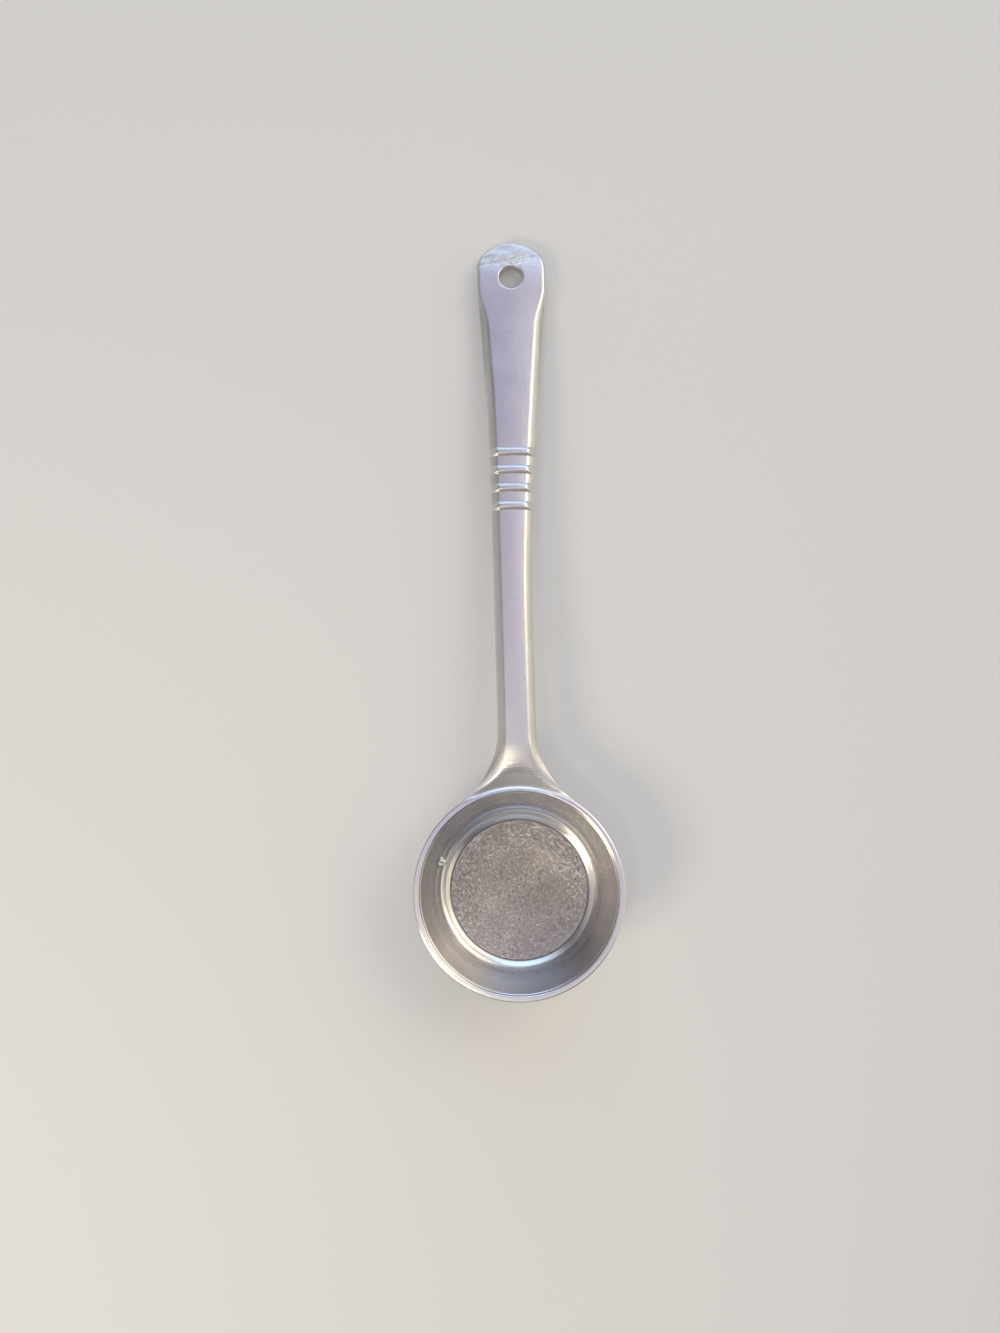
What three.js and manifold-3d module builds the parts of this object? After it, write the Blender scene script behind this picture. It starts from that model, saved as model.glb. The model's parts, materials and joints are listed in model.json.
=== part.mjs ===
// Cast aluminium serving spoon: a round flat-bottomed bowl, a long flat handle that widens to a
// rounded end, four raised cross ribs and a hanging hole. Millimetres, +Z up, handle along +Y.
// It lies as it does on a table: the heel of the bowl and the tip of the handle touch z = 0.
import * as THREE from 'three';
import { mergeVertices } from 'three/addons/utils/BufferGeometryUtils.js';
import Module from 'manifold-3d';

// Bowl, drawn about its own upright axis with its base at height 0.
const BOWL_DIAMETER = 76; // over the rim
const BOWL_HEIGHT = 24; // base to top of rim
const RIM_THICKNESS = 2.5; // measured across the flat of the rim
const RIM_ROUND = 0.7; // rounding of both rim edges
const FLOOR_THICKNESS = 3;
const WALL_DRAFT_DEG = 21; // lean of the wall away from upright
const FLOOR_FILLET = 3.5; // inside corner between floor and wall
const HEEL_FILLET = 6; // outside corner between base and wall

// Handle in plan.
const OVERALL_LENGTH = 280; // far edge of the rim to the tip
const SHANK_WIDTH = 14.2;
const GRIP_WIDTH = 25.6;
const FLARE_RADIUS = 31.5; // concave sweep from the shank into the rim
const TAPER_LENGTH = 133; // shank width growing to grip width
const FULL_WIDTH_LENGTH = 9; // parallel sides beside the hanging hole
const END_ARCH_LENGTH = 11; // rounded end beyond the parallel sides
const TIP_BLUNT = 0.01; // share of the rounded end that the small flat at the tip takes off

// Handle in section and side view.
const HANDLE_RISE_DEG = 3.6; // climb away from the plane of the rim
const EDGE_HEIGHT = 2.9; // upright side below the shoulder
const SHOULDER_HEIGHT = 2.5; // rounded shoulder between side and top face
const SHOULDER_WIDTH = 2.6;
const END_SHOULDER = 0.6; // height and width of the shoulder at the hanging end
const SHOULDER_FADE_LENGTH = 60; // run over which the shoulder dies out before the full width
const CROWN = 0.25; // fullness of the top face
const SIDE_DRAFT = 0.5; // how far each side leans in by the underside
const UNDERSIDE_ROUND = 0.8;
const END_DROOP = 2; // how far the tip bends down, from where the sides turn parallel

// Neck.
const RAMP_DEG = 17; // turned ramp from the rim up to the top face
const RAMP_FOOT = 0.8; // foot of the ramp below the top of the rim
const ROLL_DEPTH = 1.1; // top face rolling down to the ramp
const ROLL_START = 14; // how far from the rim it begins to roll
const ROLL_LENGTH = 6.5;
const ROOT_DEPTH = 6; // web under the neck, against the bowl
const ROOT_LENGTH = 13;
const SEAT_GAP = 0.3; // between the bowl and the neck drawn around it

// Cross ribs and hanging hole.
const RIB_COUNT = 4;
const RIB_PITCH = 6.75;
const RIB_WIDTH = 3.2; // at its foot
const RIB_TOP_WIDTH = 1.5;
const RIB_HEIGHT = 0.7;
const RIB_TO_TIP = 81.9; // middle of the last rib to the tip
const RIB_MARGIN = 1.4; // plain face kept beyond the outer ribs
const HOLE_DIAMETER = 9;
const HOLE_TO_TIP = 14.4;

// Fineness of the facets.
const TURN_STEPS = 72;
const ARC_STEPS = 5;
const HOLE_STEPS = 32;
const PLACE_GAP = 0.05; // closest that two sections along the handle may be

const rimRadius = BOWL_DIAMETER / 2;
const tipY = OVERALL_LENGTH - rimRadius;
const archY = tipY - END_ARCH_LENGTH;
const fullWidthY = archY - FULL_WIDTH_LENGTH;
const taperY = fullWidthY - TAPER_LENGTH;
const bluntY = tipY - END_ARCH_LENGTH * TIP_BLUNT;
const holeY = tipY - HOLE_TO_TIP;
const endStartY = holeY - HOLE_DIAMETER;
const lastRibY = tipY - RIB_TO_TIP;
const firstRibY = lastRibY - (RIB_COUNT - 1) * RIB_PITCH;
const bandStartY = firstRibY - RIB_WIDTH / 2 - RIB_MARGIN;
const bandEndY = lastRibY + RIB_WIDTH / 2 + RIB_MARGIN;
const draft = THREE.MathUtils.degToRad(WALL_DRAFT_DEG);
const cornerReach = Math.tan((Math.PI / 2 - draft) / 2);
const rimRoundHeight = BOWL_HEIGHT - RIM_ROUND;
const outerRoundRadius = rimRadius - RIM_ROUND;
const innerRoundRadius = rimRadius - RIM_THICKNESS + RIM_ROUND;
const baseRadius = outerRoundRadius + wallOffset(0) - HEEL_FILLET * cornerReach;
const floorRadius = innerRoundRadius + wallOffset(FLOOR_THICKNESS, -1) - FLOOR_FILLET * cornerReach;
const rise = Math.tan(THREE.MathUtils.degToRad(HANDLE_RISE_DEG));
const flareX = SHANK_WIDTH / 2 + FLARE_RADIUS;
const flareY = Math.sqrt((rimRadius + FLARE_RADIUS) ** 2 - flareX ** 2);
const rollY = rimRadius + ROLL_START;
const neckStartY = (rimRadius * flareY) / (rimRadius + FLARE_RADIUS);

const turnedAluminium = new THREE.MeshStandardMaterial({ color: 0xbfbfc4, metalness: 1, roughness: 0.3 });
const satinAluminium = new THREE.MeshStandardMaterial({ color: 0xb8b7bd, metalness: 1, roughness: 0.42 });

const wasm = await Module();
wasm.setup();

function asSolid(geometry) {
  const bare = geometry.clone();
  bare.deleteAttribute('normal');
  bare.deleteAttribute('uv');
  const merged = mergeVertices(bare, 1e-5);
  return new wasm.Manifold(
    new wasm.Mesh({
      numProp: 3,
      vertProperties: new Float32Array(merged.attributes.position.array),
      triVerts: new Uint32Array(merged.index.array),
    }),
  );
}

function cut(geometry, tool) {
  const mesh = asSolid(geometry).subtract(asSolid(tool)).getMesh();
  const result = new THREE.BufferGeometry();
  result.setAttribute('position', new THREE.BufferAttribute(new Float32Array(mesh.vertProperties), 3));
  result.setIndex(new THREE.BufferAttribute(new Uint32Array(mesh.triVerts), 1));
  return faceted(result);
}

function faceted(geometry) {
  const flat = geometry.toNonIndexed();
  flat.computeVertexNormals();
  return flat;
}

// Points of an arc in a half section, from one angle to another in degrees.
function arc(radius, height, size, fromDeg, toDeg) {
  const points = [];
  for (let i = 0; i <= ARC_STEPS; i += 1) {
    const angle = THREE.MathUtils.degToRad(THREE.MathUtils.lerp(fromDeg, toDeg, i / ARC_STEPS));
    points.push(new THREE.Vector2(radius + size * Math.cos(angle), height + size * Math.sin(angle)));
  }
  return points;
}

function turned(points) {
  return new THREE.LatheGeometry(points, TURN_STEPS).rotateX(Math.PI / 2);
}

// How far a face of the wall is from the middle of its rim rounding, at a height.
function wallOffset(height, side = 1) {
  return (side * RIM_ROUND) / Math.cos(draft) - (rimRoundHeight - height) * Math.tan(draft);
}

// Outside of the bowl from the axis to the rim, moved outward by a clearance.
function outsideProfile(clearance) {
  const heel = HEEL_FILLET + clearance;
  return [
    new THREE.Vector2(0, -clearance),
    ...arc(baseRadius, HEEL_FILLET, heel, -90, -WALL_DRAFT_DEG),
  ];
}

function bowl() {
  return turned([
    ...outsideProfile(0),
    ...arc(outerRoundRadius, rimRoundHeight, RIM_ROUND, -WALL_DRAFT_DEG, 90),
    ...arc(innerRoundRadius, rimRoundHeight, RIM_ROUND, 90, 180 - WALL_DRAFT_DEG),
    ...arc(floorRadius, FLOOR_THICKNESS + FLOOR_FILLET, FLOOR_FILLET, -WALL_DRAFT_DEG, -90),
    new THREE.Vector2(0, FLOOR_THICKNESS),
  ]);
}

// Half the width of the outline at a place along the handle.
function halfWidth(y) {
  if (y < flareY) {
    return flareX - Math.sqrt(FLARE_RADIUS ** 2 - (flareY - y) ** 2);
  }
  if (y < taperY) {
    return SHANK_WIDTH / 2;
  }
  if (y < fullWidthY) {
    const share = (y - taperY) / TAPER_LENGTH;
    return SHANK_WIDTH / 2 + ((GRIP_WIDTH - SHANK_WIDTH) / 2) * share ** 2;
  }
  if (y < archY) {
    return GRIP_WIDTH / 2;
  }
  return (GRIP_WIDTH / 2) * Math.sqrt(1 - ((y - archY) / END_ARCH_LENGTH) ** 2);
}

function droop(y) {
  const share = Math.max(0, (y - fullWidthY) / (tipY - fullWidthY));
  return END_DROOP * share ** 2;
}

function droopSlope(y) {
  return (2 * END_DROOP * Math.max(0, y - fullWidthY)) / (tipY - fullWidthY) ** 2;
}

// Height of the foot of the shoulder, which carries on from the top of the rim.
function edgeHeight(y) {
  return BOWL_HEIGHT + (y - rimRadius) * rise - droop(y);
}

function shoulder(y) {
  const share = THREE.MathUtils.smoothstep(y, fullWidthY - SHOULDER_FADE_LENGTH, fullWidthY);
  const rolled = 1 - THREE.MathUtils.smoothstep(y, rollY - ROLL_LENGTH, rollY);
  return {
    width: THREE.MathUtils.lerp(SHOULDER_WIDTH, END_SHOULDER, share),
    height: THREE.MathUtils.lerp(SHOULDER_HEIGHT - ROLL_DEPTH * rolled, END_SHOULDER, share),
  };
}

function ribHeight(y) {
  for (let i = 0; i < RIB_COUNT; i += 1) {
    const off = Math.abs(y - (firstRibY + i * RIB_PITCH));
    if (off < RIB_WIDTH / 2) {
      return RIB_HEIGHT * Math.min(1, (RIB_WIDTH / 2 - off) / ((RIB_WIDTH - RIB_TOP_WIDTH) / 2));
    }
  }
  return 0;
}

// Depth of the web under the neck, deepest against the bowl and in the middle.
function rootDepth(x, y) {
  const along = THREE.MathUtils.clamp((y - neckStartY) / (rimRadius + ROOT_LENGTH - neckStartY), 0, 1);
  return ROOT_DEPTH * (1 - Math.sin((along * Math.PI) / 2)) * (1 - (x / halfWidth(y)) ** 2);
}

// Closed outline of the handle's section at a place along it.
function section(y) {
  const half = halfWidth(y);
  const edge = edgeHeight(y);
  const { width, height } = shoulder(y);
  const reach = Math.min(width, half * 0.6);
  const face = half - reach;
  const rib = ribHeight(y);
  const right = [new THREE.Vector3(0, y, edge + height + CROWN + rib)];
  right.push(new THREE.Vector3(face / 2, y, edge + height + CROWN * 0.75 + rib));
  for (let i = ARC_STEPS - 1; i >= 0; i -= 1) {
    const angle = (i / (ARC_STEPS - 1)) * (Math.PI / 2);
    const x = face + reach * Math.cos(angle);
    right.push(new THREE.Vector3(x, y, edge + (height + rib) * Math.sin(angle)));
  }
  const low = edge - EDGE_HEIGHT;
  const foot = half - Math.min(SIDE_DRAFT, half * 0.1);
  const heel = foot - Math.min(UNDERSIDE_ROUND, half * 0.3);
  right.push(new THREE.Vector3(foot, y, low + UNDERSIDE_ROUND));
  for (const share of [1, 0.66, 0.33]) {
    right.push(new THREE.Vector3(heel * share, y, low - rootDepth(heel * share, y)));
  }
  const left = right.slice(1).map((p) => new THREE.Vector3(-p.x, p.y, p.z));
  return [...right, new THREE.Vector3(0, y, low - rootDepth(0, y)), ...left.reverse()];
}

// Closed solid through the sections at the given places.
function loft(places) {
  const rings = places.map(section);
  const count = rings[0].length;
  const positions = rings.flat().flatMap((p) => [p.x, p.y, p.z]);
  const index = [];
  for (let r = 0; r + 1 < rings.length; r += 1) {
    for (let i = 0; i < count; i += 1) {
      const a = r * count + i;
      const b = r * count + ((i + 1) % count);
      index.push(a, b, a + count, b, b + count, a + count);
    }
  }
  const last = (rings.length - 1) * count;
  const firstMiddle = rings.length * count;
  for (const ring of [rings[0], rings[rings.length - 1]]) {
    positions.push(0, ring[0].y, (ring[0].z + ring[count / 2].z) / 2);
  }
  for (let i = 0; i < count; i += 1) {
    const next = (i + 1) % count;
    index.push(firstMiddle, next, i);
    index.push(firstMiddle + 1, last + i, last + next);
  }
  const geometry = new THREE.BufferGeometry();
  geometry.setAttribute('position', new THREE.Float32BufferAttribute(positions, 3));
  geometry.setIndex(index);
  return faceted(geometry);
}

function spread(from, to, steps) {
  return Array.from({ length: steps + 1 }, (_, i) => THREE.MathUtils.lerp(from, to, i / steps));
}

// Both ends of a length of handle, and the wanted places that fall between them.
function between(from, to, wanted) {
  const inside = wanted.filter((y) => y > from + PLACE_GAP && y < to - PLACE_GAP);
  return [from, ...inside.sort((a, b) => a - b), to];
}

// The bowl's outside, and above the rim the cone of the turned ramp.
function neck() {
  const reach = rimRadius + SEAT_GAP;
  const foot = BOWL_HEIGHT - RAMP_FOOT;
  const above = 4 * SHOULDER_HEIGHT;
  const run = above / Math.tan(THREE.MathUtils.degToRad(RAMP_DEG));
  const seat = turned([
    ...outsideProfile(SEAT_GAP),
    ...arc(outerRoundRadius, rimRoundHeight, RIM_ROUND + SEAT_GAP, -WALL_DRAFT_DEG, 0),
    new THREE.Vector2(reach + run, foot + above),
    new THREE.Vector2(0, foot + above),
  ]);
  return cut(loft(spread(neckStartY, flareY, 16)), seat);
}

function shank() {
  return loft(between(flareY, bandStartY, spread(taperY, bandStartY, 5)));
}

function ribBand() {
  const wanted = [];
  for (let i = 0; i < RIB_COUNT; i += 1) {
    const middle = firstRibY + i * RIB_PITCH;
    wanted.push(middle - RIB_WIDTH / 2, middle - RIB_TOP_WIDTH / 2);
    wanted.push(middle + RIB_TOP_WIDTH / 2, middle + RIB_WIDTH / 2);
  }
  return loft(between(bandStartY, bandEndY, wanted));
}

function grip() {
  const fade = spread(fullWidthY - SHOULDER_FADE_LENGTH, fullWidthY, 9);
  return loft(between(bandEndY, endStartY, fade));
}

function hangingEnd() {
  const wanted = spread(fullWidthY, archY, 3);
  for (const share of [0.2, 0.4, 0.58, 0.74, 0.87, 0.96]) {
    wanted.push(archY + END_ARCH_LENGTH * share);
  }
  const drill = new THREE.CylinderGeometry(HOLE_DIAMETER / 2, HOLE_DIAMETER / 2, BOWL_HEIGHT, HOLE_STEPS);
  drill.rotateX(Math.PI / 2 + Math.atan(rise - droopSlope(holeY)));
  drill.translate(0, holeY, edgeHeight(holeY));
  return cut(loft(between(endStartY, bluntY, wanted)), drill);
}

// Tilt at which a straight edge laid underneath touches both the heel and the tip.
function restTilt() {
  const toTip = new THREE.Vector2(tipY - baseRadius, edgeHeight(tipY) - EDGE_HEIGHT - HEEL_FILLET);
  return toTip.angle() + Math.asin(HEEL_FILLET / toTip.length());
}

function piece(name, geometry, material) {
  const mesh = new THREE.Mesh(geometry, material);
  mesh.name = name;
  return mesh;
}

const casting = new THREE.Group();
casting.name = 'casting';
casting.add(piece('bowl', faceted(bowl()), turnedAluminium));
casting.add(piece('neck', neck(), satinAluminium));
casting.add(piece('shank', shank(), satinAluminium));
casting.add(piece('rib_band', ribBand(), satinAluminium));
casting.add(piece('grip', grip(), satinAluminium));
casting.add(piece('hanging_end', hangingEnd(), satinAluminium));
casting.rotation.x = -restTilt();
casting.updateMatrixWorld(true);

const extent = new THREE.Box3().setFromObject(casting, true);
casting.position.set(0, -(extent.min.y + extent.max.y) / 2, -extent.min.z);

const spoon = new THREE.Group();
spoon.name = 'serving_spoon';
spoon.add(casting);

export default spoon;
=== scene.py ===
# %% [markdown]
# # A cast aluminium serving spoon
# The real spoon is one aluminium casting: a round flat-bottomed bowl and a long flat handle with four
# cross ribs and a hanging hole. The frame gives its place and size. This lesson models its whole skin as
# one closed mesh, because a casting has no seams between its features, and then finishes that skin.

# %% Load the frame
import json
import math

import bmesh
import bpy
import numpy as np
from mathutils import Euler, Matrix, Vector, noise


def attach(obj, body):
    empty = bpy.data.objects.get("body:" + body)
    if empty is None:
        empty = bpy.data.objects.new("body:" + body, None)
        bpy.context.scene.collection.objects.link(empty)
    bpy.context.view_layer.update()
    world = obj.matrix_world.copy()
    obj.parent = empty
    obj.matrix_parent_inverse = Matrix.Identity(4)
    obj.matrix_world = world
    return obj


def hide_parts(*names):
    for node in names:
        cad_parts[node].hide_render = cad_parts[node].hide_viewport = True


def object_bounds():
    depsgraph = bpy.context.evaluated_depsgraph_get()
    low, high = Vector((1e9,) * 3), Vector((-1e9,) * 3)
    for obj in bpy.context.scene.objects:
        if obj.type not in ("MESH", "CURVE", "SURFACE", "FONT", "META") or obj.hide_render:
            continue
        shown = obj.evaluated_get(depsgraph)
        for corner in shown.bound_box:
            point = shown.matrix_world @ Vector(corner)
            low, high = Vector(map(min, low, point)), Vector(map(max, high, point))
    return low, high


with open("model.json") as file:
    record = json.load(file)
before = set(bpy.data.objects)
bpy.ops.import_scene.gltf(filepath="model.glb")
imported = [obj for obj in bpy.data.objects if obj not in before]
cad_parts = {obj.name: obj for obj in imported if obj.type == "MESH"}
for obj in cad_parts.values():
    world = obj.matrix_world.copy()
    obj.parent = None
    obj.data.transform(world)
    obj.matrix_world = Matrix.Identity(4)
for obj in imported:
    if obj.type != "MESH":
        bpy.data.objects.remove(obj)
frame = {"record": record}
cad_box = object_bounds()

print("CAD box", [list(corner) for corner in cad_box])

# %% [markdown]
# ## The casting's own frame
# On the table the spoon leans, because the heel of the bowl and the tip of the handle both touch it. All
# shapes are easier to write where the bowl stands upright, so the mesh is drawn there, in millimetres,
# with the middle of the base at the origin and the handle along +Y. The base's mount in the record says
# where that origin is on the table and how far the bowl's axis leans. The sizes that follow are those of
# the real spoon, and the rest of the lesson works out every other place from them.

# %% Place of the casting
MM = 0.001
base = next(mount for mount in frame["record"]["mounts"] if mount["name"] == "bowl_base")
base_place = Vector(base["pos_m"])
bowl_axis = -Vector(base["axis"])
lean = math.atan2(bowl_axis.y, bowl_axis.z)
print(f"base at {[round(c / MM, 1) for c in base_place]} mm, bowl leans {math.degrees(lean):.2f} degrees")

# %% Sizes of the bowl, in millimetres
RIM_RADIUS = 38
BOWL_HEIGHT = 24
RIM_THICKNESS = 2.5
RIM_ROUND = 0.7
FLOOR_THICKNESS = 3
WALL_DRAFT = math.radians(21)
INNER_DRAFT = math.radians(18.1)
FLOOR_RADIUS = 26.0
CHAMFER_WIDTH = 1.85
CHAMFER_HEIGHT = 1.2
STEP_WIDTH = 0.15
STEP_HEIGHT = 0.18
COVE_HEIGHT = 0.6
UNDERCUT = 0.4
UNDERCUT_WIDTH = 0.55
LEDGE_WIDTH = 0.4
LEDGE_DROP = 1.25
LEDGE_ROUND = 0.55
HEEL_FILLET = 6

corner_reach = math.tan((math.pi / 2 - WALL_DRAFT) / 2)
round_height = BOWL_HEIGHT - RIM_ROUND
outer_round = RIM_RADIUS - RIM_ROUND
inner_round = RIM_RADIUS - RIM_THICKNESS + RIM_ROUND


def wall_radius(height, side=1):
    """Radius of the wall at a height: side 1 is its outside, -1 its inside."""
    middle, draft = (outer_round, WALL_DRAFT) if side > 0 else (inner_round, INNER_DRAFT)
    return middle + side * RIM_ROUND / math.cos(draft) - (round_height - height) * math.tan(draft)


base_radius = wall_radius(0) - HEEL_FILLET * corner_reach
print(f"base {2 * base_radius:.1f} mm across, wall {wall_radius(12) - wall_radius(12, -1):.2f} mm thick")

# %% Sizes of the handle, in millimetres
TIP_Y = 242
SHANK_WIDTH = 14.2
GRIP_WIDTH = 25.6
FLARE_RADIUS = 31.5
TAPER_LENGTH = 133
FULL_WIDTH_LENGTH = 9
END_ARCH_LENGTH = 11
HANDLE_RISE = math.tan(math.radians(3.6))
EDGE_HEIGHT = 2.9
SHOULDER_HEIGHT = 2.5
SHOULDER_WIDTH = 3.1
BEVEL_ROUND = 0.3
BEVEL_CREASE = 0.34
END_SHOULDER = 0.6
THINNING_LENGTH = 60
BEVEL_FADE = 13
BEVEL_END = 2
CROWN = 0.25
END_DROOP = 2
RIB_COUNT = 4
RIB_PITCH = 6.75
RIB_WIDTH = 3.2
RIB_BOWL_FLANK = 0.85
RIB_TIP_FLANK = 1.4
RIB_HEIGHT = 0.7
RIB_SWEEP = 0.5
RIB_TO_TIP = 81.9
HOLE_RADIUS = 4.5
HOLE_TO_TIP = 14.4

arch_y = TIP_Y - END_ARCH_LENGTH
full_width_y = arch_y - FULL_WIDTH_LENGTH
taper_y = full_width_y - TAPER_LENGTH
hole_y = TIP_Y - HOLE_TO_TIP
flare_x = SHANK_WIDTH / 2 + FLARE_RADIUS
flare_y = math.sqrt((RIM_RADIUS + FLARE_RADIUS) ** 2 - flare_x**2)
rib_places = [TIP_Y - RIB_TO_TIP - i * RIB_PITCH for i in range(RIB_COUNT)]
print(f"handle leaves the flare at {flare_y:.1f} mm, ribs at {rib_places}, hole at {hole_y} mm")

# %% [markdown]
# ## The outline seen from above
# The handle leaves the rim in a concave sweep, runs narrow, widens to the grip and ends in an arch. One
# function gives half its width at any place. Another gives how far a point lies inside the outline, which
# later rounds the edges evenly. Numpy works on whole arrays of points, so no loop is needed here.


# %% Outline functions
def smooth(low, high, value):
    """0 below low, 1 above high, and an easy curve between them."""
    share = np.clip((value - low) / (high - low), 0, 1)
    return share * share * (3 - 2 * share)


def half_width(y):
    flare = flare_x - np.sqrt(np.clip(FLARE_RADIUS**2 - (flare_y - np.minimum(y, flare_y)) ** 2, 0, None))
    taper = np.clip((y - taper_y) / TAPER_LENGTH, 0, 1) ** 2
    straight = SHANK_WIDTH / 2 + (GRIP_WIDTH - SHANK_WIDTH) / 2 * taper
    arch = np.sqrt(np.clip(1 - (np.maximum(y - arch_y, 0) / END_ARCH_LENGTH) ** 2, 0, 1))
    return np.where(y < flare_y, flare, straight * arch)


def inside_outline(x, y):
    """How far a point lies inside the handle's outline."""
    flare = np.hypot(np.abs(x) - flare_x, y - flare_y) - FLARE_RADIUS
    past_arch = np.maximum(y - arch_y, 0)
    share = np.hypot(x / (GRIP_WIDTH / 2), past_arch / END_ARCH_LENGTH)
    slope = np.hypot(x / (GRIP_WIDTH / 2) ** 2, past_arch / END_ARCH_LENGTH**2)
    arch = (1 - share) * share / np.maximum(slope, 1e-6)
    straight = half_width(y) - np.abs(x)
    return np.where(y < flare_y, flare, np.where(y > arch_y, np.minimum(arch, END_ARCH_LENGTH), straight))


print("half widths", [round(float(half_width(y)), 2) for y in (40, 60, 150, 225, 240)])

# %% [markdown]
# ## Heights of the top and the underside
# The top face is a gentle crown between two bevels. Near the bowl a lathe has cut a conical ramp
# through it, down to a small valley behind the rim. A hard minimum of the two heights would leave a knife
# edge, so a soft minimum blends them over a short reach, as filing or casting would. The same trick
# blends the outside of the bowl into the underside of the handle.


# %% Soft blends and the base line
def soft_min(a, b, reach):
    gap = np.maximum(reach - np.abs(a - b), 0)
    return np.minimum(a, b) - gap * gap / (4 * np.maximum(reach, 1e-6))


def soft_max(a, b, reach):
    return -soft_min(-a, -b, reach)


def base_line(y):
    """Height that carries on from the top of the rim along the handle and droops at its end."""
    droop = END_DROOP * np.clip((y - full_width_y) / (TIP_Y - full_width_y), 0, 1.1) ** 2
    return BOWL_HEIGHT + (y - RIM_RADIUS) * HANDLE_RISE - droop


def bevel_fade(y):
    return smooth(full_width_y - BEVEL_FADE, full_width_y + BEVEL_END, y)


def edge_height(y):
    """Foot of the bevel, which dips where the grip is thinner and the bevel still has its full height."""
    thinner = smooth(full_width_y - THINNING_LENGTH, full_width_y, y)
    return base_line(y) - (SHOULDER_HEIGHT - END_SHOULDER) * (thinner - bevel_fade(y))


print(f"the base line reaches {float(base_line(full_width_y)):.2f} mm where the grip is widest")

# %% Face of the handle
NECK_LOW, NECK_HIGH = 34, 53
FLANK_WIDTH = 3.8
FLANK_MIDDLE = 44
FLANK_REACH = 11


def rib_height(x, y):
    """Ribs across the face: steep towards the bowl, where they sweep back at both ends."""
    half = RIB_WIDTH / 2
    sweep = RIB_SWEEP * (x / np.maximum(half_width(y), 1)) ** 2
    ribs = 0
    for place in rib_places:
        rise = smooth(-half, RIB_BOWL_FLANK - half, y - place + sweep)
        ribs = ribs + rise * (1 - smooth(half - RIB_TIP_FLANK, half, y - place))
    return RIB_HEIGHT * ribs


def shoulder(y):
    """Width and height of the bevelled shoulder at a place along the handle."""
    fade = bevel_fade(y)
    flank = (FLANK_WIDTH - SHOULDER_WIDTH) * (1 - smooth(0, FLANK_REACH, np.abs(y - FLANK_MIDDLE)))
    width = SHOULDER_WIDTH + flank + (END_SHOULDER - SHOULDER_WIDTH) * fade
    height = SHOULDER_HEIGHT * smooth(NECK_LOW, NECK_HIGH, y) * (1 - fade) + END_SHOULDER * fade
    return width, height


def bevel(share):
    """Climb of the shoulder across its width: mostly a straight bevel, rounder towards the edge."""
    rounded = np.sqrt(1 - (1 - share) ** 2)
    return soft_min(share + (rounded - share) * BEVEL_ROUND, 1 + BEVEL_CREASE / 4, BEVEL_CREASE)


def face_height(x, y):
    width, height = shoulder(y)
    climb = bevel(np.clip(inside_outline(x, y) / width, 0, 1))
    crown = CROWN * np.clip(1 - (x / np.maximum(half_width(y) - width, 1)) ** 2, 0, 1)
    return edge_height(y) + (height + rib_height(x, y)) * climb + crown


print(f"face {float(face_height(0, 150)):.2f} mm high at y = 150 mm")

# %% Top and underside
RAMP_SLOPE = math.tan(math.radians(20))
RAMP_FOOT = 0.3
VALLEY = 0.3
VALLEY_ROUND = 0.2
RAMP_EDGE_ROUND = 0.16
LIP_NARROWED = 0.8
LIP_ANGLES = (math.radians(20), math.radians(32))
ROOT_FILLET = 11
ROOT_CREASE = 2
ROOT_START, ROOT_FULL = 1.3, 5
STEEP = 4


def ramp_height(radius):
    return BOWL_HEIGHT - RAMP_FOOT + (radius - RIM_RADIUS - VALLEY) * RAMP_SLOPE


def lip_height(x, y):
    """Top of the rim, which the ramp leaves narrower behind the neck."""
    radius = np.hypot(x, y)
    behind_neck = 1 - smooth(*LIP_ANGLES, np.abs(np.arctan2(x, y)))
    past = radius + LIP_NARROWED * behind_neck - outer_round
    rounded = round_height + np.sqrt(RIM_ROUND**2 - np.clip(past, 0, RIM_ROUND) ** 2)
    return rounded - STEEP * np.maximum(past - RIM_ROUND, 0)


def top_height(x, y):
    radius = np.hypot(x, y)
    face = soft_min(face_height(x, y), ramp_height(radius), RAMP_EDGE_ROUND)
    return soft_max(lip_height(x, y), face, VALLEY_ROUND)


def wall_height(radius):
    """Height of the bowl's plain outside at a radius."""
    return round_height - (wall_radius(round_height) - radius) / math.tan(WALL_DRAFT)


def under_height(x, y):
    radius = np.hypot(x, y)
    edge = soft_min(base_line(y), ramp_height(radius), RAMP_EDGE_ROUND)
    level = soft_max(lip_height(x, y), edge, VALLEY_ROUND) - EDGE_HEIGHT
    reach = ROOT_CREASE + (ROOT_FILLET - ROOT_CREASE) * smooth(ROOT_START, ROOT_FULL, inside_outline(x, y))
    return soft_min(wall_height(radius), level, reach)


print(f"top {float(top_height(0, 60)):.2f} mm and underside {float(under_height(0, 60)):.2f} mm at y = 60 mm")

# %% [markdown]
# ## One closed skin
# The skin is made of rows of points joined by four-sided faces, which follow the form and shade evenly.
# Rings run round the bowl, and loops run round the handle. Where they meet, a sector of the rim is left
# open and its edge becomes the first loop of the handle, so no face crosses another and no boolean is
# needed. A small class collects the points and joins rows.


# %% Skin class
class Skin:
    """Points and faces of one closed mesh, in millimetres."""

    def __init__(self):
        self.points = []
        self.faces = []

    def row(self, x, y, z):
        start = len(self.points)
        self.points.extend(np.column_stack(np.broadcast_arrays(x, y, z)).astype(float))
        return list(range(start, len(self.points)))

    def join(self, row, other, closed=False):
        pairs = list(zip(row, other))
        if closed:
            pairs.append(pairs[0])
        for (a, b), (c, d) in zip(pairs, pairs[1:]):
            self.faces.append((a, c, d, b))

    def join_all(self, rows, closed=False):
        for row, other in zip(rows, rows[1:]):
            self.join(row, other, closed)

    def fan(self, ring, middle):
        for a, b in zip(ring, ring[1:] + ring[:1]):
            self.faces.append((a, b, middle))

    def at(self, row):
        """Places of a row's points, one column for each."""
        return np.array([self.points[i] for i in row]).T


skin = Skin()
print("empty skin ready")

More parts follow.
